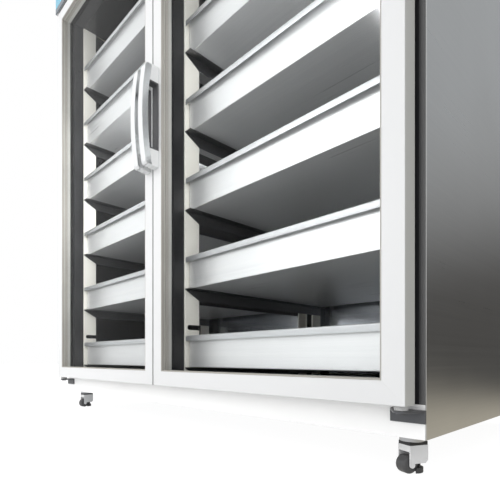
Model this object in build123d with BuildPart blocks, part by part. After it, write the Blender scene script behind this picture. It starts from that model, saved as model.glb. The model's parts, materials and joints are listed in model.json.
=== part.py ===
from build123d import *
import os
from math import cos, radians, sin

# Two-door proofing cabinet with twelve dough drawers, in millimetres.
# X runs along the front, Y into the cabinet and Z up. The origin is the centre of the base of the
# cabinet's box, on the floor.

# Casing
body_width = 1425.0
body_depth = 767.0
overall_height = 1950.0
caster_height = 66.6
kick_height = 54.8
wall = 60.0
sheet = 1.5
hairline = 0.2            # gap that keeps neighbouring sheets apart
gland_reach = 16.0        # cable gland behind the back panel

# Doors
door_width = 698.0
door_height = 1424.0
door_thick = 35.0
meeting_gap = 4.0
stile = 38.0
door_standoff = 11.4      # door back to casing front, bridged by the gasket
handle_reach = 50.0
hinge_inset = (14.0, 17.5)  # hinge axis from the door's outer edge and front face
pin_radius = 5.0
running = 0.05            # radial clearance of every running fit
mitre_gap = 0.1
corner_radius = 3.0
glass_setback = 9.0
unit_thick = 18.0
pane_thick = 4.0
glass_bite = 6.0
bead_thick = 2.5
bead_recess = 0.6
gasket_inset = 16.0
gasket_width = 20.0

# Handles
handle_x = 19.5
handle_height = 711.0     # handle centre above the door's lower edge
handle_length = 267.0
handle_end = 38.0
handle_strip = 4.0
block_length = 48.0
grip_width = 21.0
grip_thick = 18.0
grip_end_radius = 12.0
grip_edge_radius = 3.0

# Hinges
bush_length = 25.0
bush_radius = 7.0
bush_flange = 7.7
flange_radius = 10.5
bracket_width = 57.0
bracket_thick = 4.0
bracket_nose = 12.0
bracket_rise = 21.4
bracket_drop = 12.0       # lower bracket's underside below the door
pin_head = 2.5
pin_passage = 9.0

# Inside
sill_height = 12.0        # liner floor above the door's lower edge
mullion_width = 60.0
mullion_depth = 84.6
rear_post_depth = 35.4
breaker_depth = 35.6
breaker_thick = 3.0
post_width = 49.0
post_depth = 5.6
drawer_rows = 6
drawer_pitch = 219.0
drawer_height = 88.0
drawer_depth = 606.0
drawer_clearance = 2.9    # drawer side to the plane of the posts
first_drawer = 47.5       # lowest drawer above the door's lower edge
lip_reach = 11.5
lip_height = 14.0
ledge_width = 24.0
web_height = 30.0
slot_margin = 8.0
slot_height = 14.0
slot_rise = 152.0         # slot above the door's lower edge

# Header
header_proud = 5.0        # header front ahead of the door front
header_gap = 4.0          # door top to header
trim_height = 20.0
panel_thick = 2.0
control_width = 190.0
control_height = 84.0
control_thick = 6.0
control_radius = 8.0
control_z = 1715.0
fan_x = 0.0
fan_y = 150.0
fan_drop = 22.0
blade_height = 30.0
blade_count = 12
impeller_radius = 90.0
shaft_radius = 6.0
shaft_hole = 12.0
motor_radius = 45.0
motor_height = 110.0
heater_gap = 25.0
heater_radius = 4.0
steam_x = -330.0
steam_y = 190.0
steam_radius = 11.0
steam_drop = 15.0
tank_size = (220.0, 180.0, 190.0)
tank_corner = 12.0
gland_x = 560.0
gland_z = 1800.0
gland_hole = 10.0

# Casters
caster_inset = (45.5, 51.6)     # swivel axis from the casing's side and front
caster_trail = 11.0
wheel_radius = 15.5
wheel_width = 22.0
axle_radius = 3.0
plate_size = 55.0
plate_thick = 2.5
race_radius = 20.0
race_low = 54.0
king_radius = 4.0
king_low = 40.0
leg_radius = 5.2
fork_width = 29.0
fork_wall = 2.0
fork_front = caster_trail + leg_radius
fork_rear = -21.6
fork_top = 48.0
cavity_top = 37.5
skirt = 17.5
knob_z = 27.0
knob_radius = 6.0
knob_reach = 5.0
foot_clear = 1.0
pad_offset = -3.0
pad_radius = 16.0
pad_height = 9.0
pad_front = 3.0
pad_slot = (-6.0, 12.2)         # where the slot for the wheel starts, and its half width
collar_radius = 11.5
collar_height = 6.0
stem_offset = -12.0
stem_radius = 4.0
stem_top = 36.0
caster_angles = {"front_right": -114.0, "front_left": -84.0, "rear_right": -35.0, "rear_left": -150.0}

# Places worked out from the sizes above
half_width = body_width / 2
overall_depth = handle_reach + door_thick + door_standoff + body_depth + gland_reach
door_front = handle_reach - overall_depth / 2
door_back = door_front + door_thick
body_front = door_back + door_standoff
body_back = body_front + body_depth
door_bottom = caster_height + kick_height
door_top = door_bottom + door_height
door_outer = meeting_gap / 2 + door_width
inner_half = half_width - wall
mullion_half = mullion_width / 2
floor_top = door_bottom + sill_height
ceiling = door_top - stile
inner_back = body_back - wall
breaker_back = body_front + breaker_depth
front_post = (breaker_back, breaker_back + post_width)
rear_post = (inner_back - rear_post_depth - post_width, inner_back - rear_post_depth)
deck = ceiling + wall
header_bottom = door_top + header_gap
header_front = door_front - header_proud
lip_front = breaker_back + 0.3
drawer_front = lip_front + lip_reach
outer_plane = inner_half - post_depth
inner_plane = mullion_half + post_depth
bay_centre = (outer_plane + inner_plane) / 2
drawer_half = (outer_plane - inner_plane) / 2 - drawer_clearance
hinge_x = door_outer - hinge_inset[0]
hinge_y = door_front + hinge_inset[1]
handle_z = door_bottom + handle_height
slot_low = door_bottom + slot_rise
lower_bracket = door_bottom - bracket_drop
upper_bracket = header_bottom + sheet + 0.8
sides = {"left": -1, "right": 1}

os.makedirs("parts", exist_ok=True)


def save(name, builder):
    """Labels a finished sub-part and writes its STEP file."""
    builder.part.label = name
    export_step(builder.part, f"parts/{name}.step")


def slab(x, y, z, mode=Mode.ADD):
    """Adds a block to the open part, from its (low, high) along each axis."""
    x, y, z = sorted(x), sorted(y), sorted(z)
    with Locations((sum(x) / 2, sum(y) / 2, sum(z) / 2)):
        Box(x[1] - x[0], y[1] - y[0], z[1] - z[0], mode=mode)


def rod(x, y, z, radius, mode=Mode.ADD):
    """Adds an upright cylinder to the open part, between the two heights in z."""
    with Locations((x, y, (z[0] + z[1]) / 2)):
        Cylinder(radius, z[1] - z[0], mode=mode)


def drawer_bottom(row):
    """Height of a drawer's underside, row 0 being the lowest."""
    return door_bottom + first_drawer + drawer_pitch * row


# Casing

def side_panel(side):
    with BuildPart() as panel:
        outer = side * half_width
        slab((outer - side * sheet, outer), (body_front, body_back), (caster_height, overall_height - sheet))
    return panel


def back_panel():
    edge = half_width - sheet - hairline
    with BuildPart() as panel:
        slab((-edge, edge), (body_back - sheet, body_back), (caster_height, overall_height - sheet - hairline))
        with Locations((gland_x, body_back, gland_z)):
            Cylinder(gland_hole, 4 * sheet, rotation=(90, 0, 0), mode=Mode.SUBTRACT)
    return panel


def base_pan():
    edge = half_width - sheet - hairline
    with BuildPart() as pan:
        slab((-edge, edge), (body_front + sheet, body_back - sheet - hairline),
             (caster_height, caster_height + sheet))
    return pan


def kick_plate():
    edge = half_width - sheet - hairline
    with BuildPart() as plate:
        slab((-edge, edge), (body_front, body_front + sheet - hairline), (caster_height, door_bottom))
    return plate


def front_frame():
    """Face sheets around the two doorways: stiles, centre bar, sill and head."""
    y = (body_front, body_front + sheet)
    edge = half_width - sheet - hairline
    low, high = door_bottom + hairline, floor_top
    with BuildPart() as frame:
        for side in sides.values():
            slab((side * inner_half, side * edge), y, (low, deck))
        slab((-mullion_half, mullion_half), y, (high + hairline, ceiling - hairline))
        slab((hairline - inner_half, inner_half - hairline), y, (low, high))
        slab((hairline - inner_half, inner_half - hairline), y, (ceiling, deck))
    return frame


def breaker_strips():
    """Thermal break strips that line both doorways behind the face sheets."""
    y = (body_front + sheet, breaker_back - hairline)
    z = (floor_top, ceiling)
    with BuildPart() as strips:
        for side in sides.values():
            slab((side * inner_half, side * (inner_half + breaker_thick)), y, z)
            slab((side * mullion_half, side * (mullion_half - breaker_thick)), y, z)
            for level, away in ((floor_top, -1), (ceiling, 1)):
                slab((side * (mullion_half - breaker_thick), side * (inner_half + breaker_thick)), y,
                     (level + away * hairline, level + away * breaker_thick))
    return strips


def insulation():
    """Foam boards between the casing and the liner."""
    skin = sheet + hairline
    foam = inner_half + breaker_thick + hairline
    front, back = body_front + skin, body_back - skin
    lower, upper = floor_top - breaker_thick - hairline, ceiling + breaker_thick + hairline
    with BuildPart() as boards:
        for side in sides.values():
            slab((side * foam, side * (half_width - skin)), (front, back), (caster_height + skin, deck))
        slab((hairline - foam, foam - hairline), (inner_back + breaker_thick, back), (lower, upper))
        slab((hairline - foam, foam - hairline), (front, back), (caster_height + skin, lower - hairline))
        slab((hairline - foam, foam - hairline), (front, back), (upper + hairline, deck))
        rod(fan_x, fan_y, (ceiling, deck), shaft_hole, Mode.SUBTRACT)
        rod(steam_x, steam_y, (ceiling, deck), steam_radius + hairline, Mode.SUBTRACT)
    return boards


def liner():
    """Inner skin: two sides, back, floor and ceiling sheets."""
    y = (breaker_back, inner_back)
    with BuildPart() as skin:
        for side in sides.values():
            slab((side * inner_half, side * (inner_half + sheet)), y, (floor_top + hairline, ceiling - hairline))
        slab((-inner_half, inner_half), (inner_back + hairline, inner_back + sheet),
             (floor_top + hairline, ceiling - hairline))
        for level, away in ((floor_top, -1), (ceiling, 1)):
            slab((-inner_half, inner_half), y, (level, level + away * sheet))
        rod(fan_x, fan_y, (ceiling - sheet, ceiling + 2 * sheet), shaft_hole, Mode.SUBTRACT)
        rod(steam_x, steam_y, (ceiling - sheet, ceiling + 2 * sheet), steam_radius + hairline, Mode.SUBTRACT)
    return skin


def centre_posts():
    """Hollow mullion between the doorways, and the post behind it against the back wall."""
    z = (floor_top + hairline, ceiling - hairline)
    core = mullion_half - breaker_thick - hairline
    with BuildPart() as posts:
        slab((-core, core), (body_front + sheet, breaker_back), z)
        slab((-mullion_half, mullion_half), (breaker_back, body_front + mullion_depth), z)
        slab((-mullion_half, mullion_half), (inner_back - rear_post_depth, inner_back), z)
        hollow = core - sheet
        slab((-hollow, hollow), (body_front + 2 * sheet, body_front + mullion_depth - sheet), z, Mode.SUBTRACT)
        slab((-hollow, hollow), (inner_back - rear_post_depth + sheet, inner_back - sheet), z, Mode.SUBTRACT)
    return posts


# Rack

def post(plane_x, out, y, open_end):
    """One slotted channel: its web on plane_x, its flanges towards the wall, out being the wall's side."""
    z = (floor_top + hairline, ceiling - hairline)
    web = (plane_x, plane_x + out * sheet)
    slab(web, y, z)
    for edge, inward in ((y[0], 1), (y[1], -1)):
        slab((plane_x, plane_x + out * (post_depth - hairline)), (edge, edge + inward * sheet), z)
    slot_end = y[0] + slot_margin if open_end == 1 else y[1] - slot_margin
    slot_mouth = y[1] if open_end == 1 else y[0]
    cut = (plane_x - sheet, plane_x + post_depth)
    cut = cut if out > 0 else (plane_x + sheet, plane_x - post_depth)
    radius = slot_height / 2
    slab(cut, (slot_end + open_end * radius, slot_mouth + open_end * sheet), (slot_low, slot_low + slot_height),
         Mode.SUBTRACT)
    with Locations((sum(cut) / 2, slot_end + open_end * radius, slot_low + radius)):
        Cylinder(radius, abs(cut[1] - cut[0]), rotation=(0, 90, 0), mode=Mode.SUBTRACT)


def rack_posts():
    """Eight posts: front and rear on each side of both bays."""
    with BuildPart() as posts:
        for side in sides.values():
            for plane_x, out in ((side * outer_plane, side), (side * inner_plane, -side)):
                post(plane_x, out, front_post, 1)
                post(plane_x, out, rear_post, -1)
    return posts


def runners():
    """L rails, a pair for each drawer: ledge under the drawer and web down the posts."""
    front, back = front_post[0], rear_post[1]
    with BuildPart() as rails:
        for side in sides.values():
            for plane_x, out in ((side * outer_plane, side), (side * inner_plane, -side)):
                for row in range(drawer_rows):
                    top = drawer_bottom(row) - 0.3
                    slab((plane_x, plane_x - out * ledge_width), (front, back), (top - sheet, top))
                    start = min(plane_x, plane_x - out * sheet)
                    with BuildSketch(Plane.YZ.offset(start)):
                        with BuildLine():
                            Polyline((front, top), (back, top), (back, top - web_height),
                                     (front_post[1], top - web_height), (front, top - 2 * sheet), close=True)
                        make_face()
                    extrude(amount=sheet)
    return rails


def drawer(side, row):
    """Pressed dough drawer with a forward grip lip along its top edge."""
    centre = side * bay_centre
    bottom = drawer_bottom(row)
    top = bottom + drawer_height
    x = (centre - drawer_half, centre + drawer_half)
    back = drawer_front + drawer_depth
    with BuildPart() as tray:
        slab(x, (drawer_front, back), (bottom, top))
        slab((x[0] + sheet, x[1] - sheet), (drawer_front + sheet, back - sheet), (bottom + sheet, top + sheet),
             Mode.SUBTRACT)
        slab(x, (lip_front, drawer_front + sheet), (top - sheet, top))
        slab(x, (lip_front, lip_front + sheet), (top - lip_height, top))
        corners = tray.edges().filter_by(Axis.Z).filter_by(lambda e: e.length > drawer_height - 2 * sheet)
        fillet(corners.sort_by(Axis.Y)[-2:], sheet)
    return tray


# Doors

def door_frame(side):
    """Four mitred bars with a glazing groove and the bores for the hinge bushes."""
    outer, inner = side * door_outer, side * meeting_gap / 2
    low, high = sorted((outer, inner))
    cut = mitre_gap
    bars = [
        [(low + cut, door_bottom), (high - cut, door_bottom),
         (high - stile - cut, door_bottom + stile), (low + stile + cut, door_bottom + stile)],
        [(low + cut, door_top), (high - cut, door_top),
         (high - stile - cut, door_top - stile), (low + stile + cut, door_top - stile)],
        [(low, door_bottom + cut), (low, door_top - cut),
         (low + stile, door_top - stile - cut), (low + stile, door_bottom + stile + cut)],
        [(high, door_bottom + cut), (high, door_top - cut),
         (high - stile, door_top - stile - cut), (high - stile, door_bottom + stile + cut)],
    ]
    with BuildPart() as frame:
        with BuildSketch(Plane.XZ.offset(-door_back)):
            for bar in bars:
                Polygon(*bar, align=None)
        extrude(amount=door_thick)
        groove_y = (door_front + glass_setback, door_front + glass_setback + unit_thick)
        slab((low + stile - glass_bite, high - stile + glass_bite), groove_y,
             (door_bottom + stile - glass_bite, door_top - stile + glass_bite), Mode.SUBTRACT)
        for z in ((door_bottom, door_bottom + bush_length), (door_top - bush_length, door_top)):
            rod(side * hinge_x, hinge_y, z, bush_radius + running, Mode.SUBTRACT)
        long_edges = [e for e in frame.edges() if e.length > door_width / 2 and
                      (abs(e.center().X - outer) < 1 or abs(e.center().X - inner) < 1)]
        fillet(long_edges, corner_radius)
    return frame


def opening(side, inset):
    """X and Z ranges of the door's clear opening, shrunk all round by inset."""
    x = (side * (meeting_gap / 2 + stile + inset), side * (door_outer - stile - inset))
    return x, (door_bottom + stile + inset, door_top - stile - inset)


def ring(side, outset, inset, y):
    """A closed rectangular band around the door's opening."""
    x, z = opening(side, -outset)
    slab(x, y, z)
    x, z = opening(side, inset)
    slab(x, y, z, Mode.SUBTRACT)


def door_glass(side):
    """Double-glazed unit: two panes a spacer apart."""
    x, z = opening(side, -glass_bite + hairline)
    front = door_front + glass_setback
    with BuildPart() as panes:
        slab(x, (front + hairline, front + pane_thick), z)
        slab(x, (front + unit_thick - pane_thick, front + unit_thick - hairline), z)
    return panes


def glazing_seal(side):
    """Front glazing bead and the spacer between the two panes."""
    front = door_front + glass_setback
    with BuildPart() as seal:
        ring(side, -hairline, bead_thick, (door_front + bead_recess, front))
        ring(side, glass_bite - hairline, bead_thick, (front + pane_thick + hairline,
                                                       front + unit_thick - pane_thick - hairline))
    return seal


def door_gasket(side):
    """Magnetic gasket on the door's back. Its outer edge stays inside the hinge axis."""
    outset = stile - gasket_inset
    with BuildPart() as gasket:
        ring(side, outset, gasket_width - outset, (door_back, body_front - 0.3))
    return gasket


def handle_plane(side):
    """Upright plane through the handle's middle, its x axis pointing out of the door."""
    return Plane(origin=(side * handle_x, door_front, handle_z), x_dir=(0, -1, 0), z_dir=(1, 0, 0))


def handle_grip(side):
    """Bowed bar, rounded at both ends."""
    half = handle_length / 2
    with BuildPart() as grip:
        with BuildSketch(handle_plane(side)):
            with BuildLine():
                ThreePointArc((handle_end, -half), (handle_reach, 0), (handle_end, half))
                Line((handle_end, half), (handle_end - grip_thick, half))
                ThreePointArc((handle_end - grip_thick, half), (handle_reach - grip_thick, 0),
                              (handle_end - grip_thick, -half))
                Line((handle_end - grip_thick, -half), (handle_end, -half))
            make_face()
        extrude(amount=grip_width / 2, both=True)
        ends = grip.edges().filter_by(Axis.X).filter_by(lambda e: e.center().Y < door_front - handle_end + 1)
        fillet(ends, grip_end_radius)
        fillet(grip.faces().sort_by(Axis.Y)[0].edges(), grip_edge_radius)
    return grip


def handle_base(side):
    """Mounting strip with the two end blocks that carry the grip."""
    half = handle_length / 2
    reach = handle_end - grip_thick
    with BuildPart() as base:
        with BuildSketch(handle_plane(side)):
            with BuildLine():
                Line((0, -half), (reach - hairline, -half))
                ThreePointArc((reach - hairline, -half), (handle_reach - grip_thick - hairline, 0),
                              (reach - hairline, half))
                Polyline((reach - hairline, half), (0, half), (0, -half))
            make_face()
            with Locations((handle_strip + handle_reach / 2, 0)):
                Rectangle(handle_reach, handle_length - 2 * block_length, mode=Mode.SUBTRACT)
        extrude(amount=grip_width / 2, both=True)
    return base


def hinge_bushes(side):
    """Flanged lower bush and plain upper bush, both fixed in the door."""
    x = side * hinge_x
    with BuildPart() as bushes:
        rod(x, hinge_y, (door_bottom - bush_flange, door_bottom), flange_radius)
        rod(x, hinge_y, (door_bottom, door_bottom + bush_length - hairline), bush_radius)
        rod(x, hinge_y, (door_top - bush_length + hairline, door_top), bush_radius)
        rod(x, hinge_y, (door_bottom - bush_flange, door_bottom + bush_length), pin_radius + running, Mode.SUBTRACT)
        rod(x, hinge_y, (door_top - bush_length, door_top), pin_radius + running, Mode.SUBTRACT)
    return bushes


# Hinges

def hinge_leg(side, z, rise):
    """One angle bracket: a nosed leg around the pin and a screwed leg on the casing front."""
    edge = half_width - (sheet + hairline if rise > 0 else 0)
    outer, inner = side * edge, side * (half_width - bracket_width)
    with BuildSketch(Plane.XY.offset(z)) as leg:
        with Locations((side * hinge_x, hinge_y)):
            Circle(bracket_nose)
        with Locations(((outer + inner) / 2, body_front - bracket_thick / 2)):
            Rectangle(abs(outer - inner), bracket_thick)
        make_hull()
    extrude(leg.sketch, amount=bracket_thick)
    foot = (z, z + rise) if rise > 0 else (z + bracket_thick, z + bracket_thick + rise)
    slab((outer, inner), (body_front - bracket_thick, body_front), foot)
    rod(side * hinge_x, hinge_y, (z - 1, z + bracket_thick + 1), pin_radius + running, Mode.SUBTRACT)


def hinge_brackets():
    with BuildPart() as brackets:
        for side in sides.values():
            hinge_leg(side, lower_bracket, -bracket_rise)
            hinge_leg(side, upper_bracket, bracket_rise)
    return brackets


def hinge_pins():
    """Four pins, each with a head outside its bracket."""
    with BuildPart() as pins:
        for side in sides.values():
            x = side * hinge_x
            rod(x, hinge_y, (lower_bracket, door_bottom + bush_length - 2), pin_radius)
            rod(x, hinge_y, (lower_bracket - pin_head, lower_bracket), pin_radius + pin_head)
            rod(x, hinge_y, (door_top - bush_length + 2, upper_bracket + bracket_thick), pin_radius)
            rod(x, hinge_y, (upper_bracket + bracket_thick, upper_bracket + bracket_thick + pin_head),
                pin_radius + pin_head)
    return pins


# Header and machine bay

def header_casing():
    """Forward tray of the header, and the roof sheet."""
    front = header_front + panel_thick + hairline
    top = overall_height - sheet - hairline
    with BuildPart() as casing:
        slab((-half_width, half_width), (front, body_front - hairline), (header_bottom, top))
        slab((sheet - half_width, half_width - sheet), (front + sheet, body_front + sheet),
             (header_bottom + sheet, top - sheet), Mode.SUBTRACT)
        for side in sides.values():
            rod(side * hinge_x, hinge_y, (header_bottom - sheet, header_bottom + 2 * sheet), pin_passage,
                Mode.SUBTRACT)
        slab((-half_width, half_width), (front, body_back), (overall_height - sheet, overall_height))
    return casing


def header_panel():
    """Coloured front panel, with the darker strip along its lower edge."""
    y = (header_front, header_front + panel_thick)
    edge = header_bottom + trim_height
    with BuildPart() as panel:
        slab((-half_width, half_width), y, (edge + hairline, overall_height))
        slab((-half_width, half_width), y, (header_bottom, edge))
    return panel


def control_panel():
    """Touch controller: bezel and screen on the header."""
    x, z = (-control_width / 2, control_width / 2), (control_z, control_z + control_height)
    bezel = control_thick / 3
    with BuildPart() as panel:
        slab(x, (header_front - control_thick, header_front), z)
        fillet(panel.edges().filter_by(Axis.Y), control_radius)
        slab((x[0] + control_radius, x[1] - control_radius), (header_front - control_thick - 1,
             header_front - control_thick + bezel), (z[0] + control_radius, z[1] - control_radius), Mode.SUBTRACT)
        slab((x[0] + control_radius + hairline, x[1] - control_radius - hairline),
             (header_front - control_thick + hairline, header_front - control_thick + bezel - hairline),
             (z[0] + control_radius + hairline, z[1] - control_radius - hairline))
    return panel


def fan_motor():
    """Motor standing on the deck, with its foot flange."""
    base = deck + hairline
    with BuildPart() as motor:
        rod(fan_x, fan_y, (base, base + 4 * sheet), motor_radius * 1.4)
        rod(fan_x, fan_y, (base + 4 * sheet, base + motor_height), motor_radius)
        fillet(motor.edges().sort_by(Axis.Z)[-1], 4 * sheet)
        rod(fan_x, fan_y, (base, base + motor_height / 2), shaft_radius + running, Mode.SUBTRACT)
    return motor


def fan_impeller():
    """Shaft, back disc and blades of the circulation fan under the ceiling."""
    disc = ceiling - fan_drop
    with BuildPart() as impeller:
        rod(fan_x, fan_y, (disc - blade_height, deck + motor_height / 2 - 1), shaft_radius)
        rod(fan_x, fan_y, (disc, disc + 2 * sheet), impeller_radius)
        rod(fan_x, fan_y, (disc - blade_height, disc), shaft_radius * 3)
        with Locations((fan_x, fan_y, disc - blade_height / 2)):
            with PolarLocations(impeller_radius * 0.7, blade_count):
                Box(impeller_radius * 0.5, 2 * sheet, blade_height)
    return impeller


def heating_unit():
    """Ring heater around the fan, and the steam tank with its pipe into the chamber."""
    with BuildPart() as unit:
        with Locations((fan_x, fan_y, ceiling - fan_drop)):
            Torus(impeller_radius + heater_gap, heater_radius)
        for offset in (-heater_radius * 3, heater_radius * 3):
            rod(fan_x + offset, fan_y + impeller_radius + heater_gap, (ceiling - fan_drop, ceiling - hairline),
                heater_radius)
        base = deck + hairline
        for inset, mode in ((0, Mode.ADD), (sheet, Mode.SUBTRACT)):
            with BuildSketch(Plane.XY.offset(base + inset)):
                with Locations((steam_x, steam_y)):
                    RectangleRounded(tank_size[0] - 2 * inset, tank_size[1] - 2 * inset, tank_corner - inset)
            extrude(amount=tank_size[2] - 2 * inset, mode=mode)
        rod(steam_x, steam_y, (ceiling - steam_drop, base), steam_radius)
        rod(steam_x, steam_y, (ceiling - steam_drop, base + sheet), steam_radius - sheet, Mode.SUBTRACT)
    return unit


def cable_gland():
    """Hexagon body, dome nut and threaded neck in the back panel."""
    with BuildPart() as gland:
        with BuildSketch(Plane.XZ.offset(-body_back)):
            with Locations((gland_x, gland_z)):
                RegularPolygon(gland_hole * 1.6, 6)
        extrude(amount=-gland_reach * 0.4)
        with BuildSketch(Plane.XZ.offset(-body_back - gland_reach * 0.4)):
            with Locations((gland_x, gland_z)):
                Circle(gland_hole * 1.25)
        extrude(amount=-gland_reach * 0.6, taper=10)
        with BuildSketch(Plane.XZ.offset(-body_back)):
            with Locations((gland_x, gland_z)):
                Circle(gland_hole - running)
        extrude(amount=gland_reach)
        with Locations((gland_x, body_back, gland_z)):
            Cylinder(gland_hole * 0.6, gland_reach * 3, rotation=(90, 0, 0), mode=Mode.SUBTRACT)
    return gland


# Casters

def caster_place(corner):
    """Swivel axis of a caster, and the unit vector from it towards the wheel."""
    end, side = corner.split("_")
    x = sides[side] * (half_width - caster_inset[0])
    y = body_front + caster_inset[1] if end == "front" else body_back - caster_inset[1]
    angle = radians(caster_angles[corner])
    return (x, y), (cos(angle), sin(angle))


def side_view(corner):
    """Upright plane of a caster: x towards the wheel, y up, z along the axle."""
    (x, y), (ux, uy) = caster_place(corner)
    return Plane(origin=(x, y, 0), x_dir=(ux, uy, 0), z_dir=(uy, -ux, 0))


def caster_plates():
    """Square top plates, their swivel races and king pins."""
    with BuildPart() as plates:
        for corner in caster_angles:
            (x, y), _ = caster_place(corner)
            slab((x - plate_size / 2, x + plate_size / 2), (y - plate_size / 2, y + plate_size / 2),
                 (caster_height - plate_thick, caster_height))
            rod(x, y, (race_low, caster_height - plate_thick), race_radius)
            rod(x, y, (king_low, race_low), king_radius)
    return plates


def caster_fork(corner):
    """Swivelling housing: skirted sides, axle legs, cap, axle and the foot's adjusting knob."""
    plane = side_view(corner)
    (x, y), _ = caster_place(corner)
    with BuildPart() as fork:
        with BuildSketch(plane):
            with BuildLine():
                Polyline((fork_front, fork_top), (fork_rear, fork_top), (fork_rear, skirt + leg_radius),
                         (fork_rear + leg_radius, skirt), (caster_trail, skirt), (fork_front, wheel_radius),
                         close=True)
            make_face()
            with Locations((caster_trail, wheel_radius)):
                Circle(leg_radius)
        extrude(amount=fork_width / 2, both=True)
        with BuildSketch(plane):
            with Locations(((fork_front + fork_rear) / 2 + fork_wall + 1, cavity_top / 2)):
                Rectangle(fork_front - fork_rear + 2, cavity_top)
        extrude(amount=fork_width / 2 - fork_wall, both=True, mode=Mode.SUBTRACT)
        with BuildSketch(Plane(origin=(x, y, fork_top), x_dir=plane.x_dir, z_dir=(0, 0, 1))):
            with Locations(((fork_front + fork_rear) / 2, 0)):
                RectangleRounded(fork_front - fork_rear, fork_width, fork_wall)
        extrude(amount=race_low - fork_top - 0.3)
        rod(x, y, (king_low - 1, race_low), king_radius + running, Mode.SUBTRACT)
        with BuildSketch(plane):
            with Locations((caster_trail, wheel_radius)):
                Circle(axle_radius)
        extrude(amount=fork_width / 2, both=True)
        knob_plane = Plane(origin=plane.from_local_coords((fork_rear, knob_z, 0)), x_dir=(0, 0, 1),
                           z_dir=-plane.x_dir)
        with BuildSketch(knob_plane):
            Circle(knob_radius)
        extrude(amount=knob_reach)
    return fork


def caster_wheel(corner):
    """Solid tyre with rounded shoulders and a running bore."""
    with BuildPart() as wheel:
        with BuildSketch(side_view(corner)):
            with Locations((caster_trail, wheel_radius)):
                Circle(wheel_radius)
        extrude(amount=wheel_width / 2, both=True)
        fillet(wheel.edges(), wheel_width / 5)
        with BuildSketch(side_view(corner)):
            with Locations((caster_trail, wheel_radius)):
                Circle(axle_radius + running)
        extrude(amount=wheel_width, both=True, mode=Mode.SUBTRACT)
    return wheel


def caster_foot(corner):
    """Levelling foot: rubber pad slotted for the wheel, collar and screw stem, a little clear of the floor."""
    (x, y), (ux, uy) = caster_place(corner)
    ground = Plane(origin=(x, y, foot_clear), x_dir=(ux, uy, 0), z_dir=(0, 0, 1))
    with BuildPart() as foot:
        with BuildSketch(ground):
            with Locations((pad_offset, 0)):
                Circle(pad_radius)
        extrude(amount=pad_height)
        fillet(foot.edges().sort_by(Axis.Z)[0], sheet)
        with BuildSketch(ground.offset(pad_height)):
            with Locations((pad_offset, 0)):
                Circle(collar_radius)
        extrude(amount=collar_height)
        with BuildSketch(ground):
            with Locations((pad_slot[0] + 2 * pad_radius, 0)):
                Rectangle(4 * pad_radius, 2 * pad_slot[1])
            with Locations((pad_front + 2 * pad_radius, 0)):
                Rectangle(4 * pad_radius, 4 * pad_radius)
        extrude(amount=pad_height + collar_height, mode=Mode.SUBTRACT)
        with BuildSketch(ground):
            with Locations((stem_offset, 0)):
                Circle(stem_radius)
        extrude(amount=stem_top - foot_clear)
    return foot


pieces = {
    "back_panel": back_panel, "base_pan": base_pan, "kick_plate": kick_plate, "front_frame": front_frame,
    "breaker_strips": breaker_strips, "insulation": insulation, "liner": liner, "centre_posts": centre_posts,
    "rack_posts": rack_posts, "runners": runners, "hinge_brackets": hinge_brackets, "hinge_pins": hinge_pins,
    "header_casing": header_casing, "header_panel": header_panel, "control_panel": control_panel,
    "fan_motor": fan_motor, "fan_impeller": fan_impeller, "heating_unit": heating_unit,
    "cable_gland": cable_gland, "caster_plates": caster_plates,
}
for name, make in pieces.items():
    save(name, make())
door_pieces = {
    "side_panel": side_panel, "door_frame": door_frame, "door_glass": door_glass, "glazing_seal": glazing_seal,
    "door_gasket": door_gasket, "handle_grip": handle_grip, "handle_base": handle_base,
    "hinge_bushes": hinge_bushes,
}
for side_name, side in sides.items():
    for name, make in door_pieces.items():
        save(f"{side_name}_{name}", make(side))
    for row in range(drawer_rows):
        save(f"{side_name}_drawer_{row + 1}", drawer(side, row))
for corner in caster_angles:
    for name, make in {"fork": caster_fork, "wheel": caster_wheel, "foot": caster_foot}.items():
        save(f"{corner}_{name}", make(corner))
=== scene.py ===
import json
import math
import bmesh
import bpy
from mathutils import Matrix, Vector

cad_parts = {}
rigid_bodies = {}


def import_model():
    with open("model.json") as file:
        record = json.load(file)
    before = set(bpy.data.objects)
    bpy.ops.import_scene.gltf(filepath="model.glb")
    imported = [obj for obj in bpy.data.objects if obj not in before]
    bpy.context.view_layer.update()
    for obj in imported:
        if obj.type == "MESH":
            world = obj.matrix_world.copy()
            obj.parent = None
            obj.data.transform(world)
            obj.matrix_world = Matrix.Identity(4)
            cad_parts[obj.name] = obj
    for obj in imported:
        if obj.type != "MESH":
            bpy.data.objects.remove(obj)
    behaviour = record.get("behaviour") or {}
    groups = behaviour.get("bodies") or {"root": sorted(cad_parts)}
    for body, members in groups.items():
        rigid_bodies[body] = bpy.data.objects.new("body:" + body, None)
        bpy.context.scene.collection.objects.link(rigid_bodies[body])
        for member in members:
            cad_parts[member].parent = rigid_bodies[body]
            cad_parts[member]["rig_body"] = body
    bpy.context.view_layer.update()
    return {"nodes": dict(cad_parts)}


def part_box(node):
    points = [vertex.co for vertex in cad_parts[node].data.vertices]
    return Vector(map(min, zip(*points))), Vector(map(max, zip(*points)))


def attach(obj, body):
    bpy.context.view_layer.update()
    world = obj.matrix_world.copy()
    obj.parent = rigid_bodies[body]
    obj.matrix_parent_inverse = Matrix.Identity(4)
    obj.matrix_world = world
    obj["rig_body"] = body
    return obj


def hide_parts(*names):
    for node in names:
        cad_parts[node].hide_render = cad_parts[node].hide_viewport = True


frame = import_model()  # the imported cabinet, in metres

mm = 0.001
sides = {"left": -1, "right": 1}
corners = ["front_left", "front_right", "rear_left", "rear_right"]


# Mesh helpers

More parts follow.
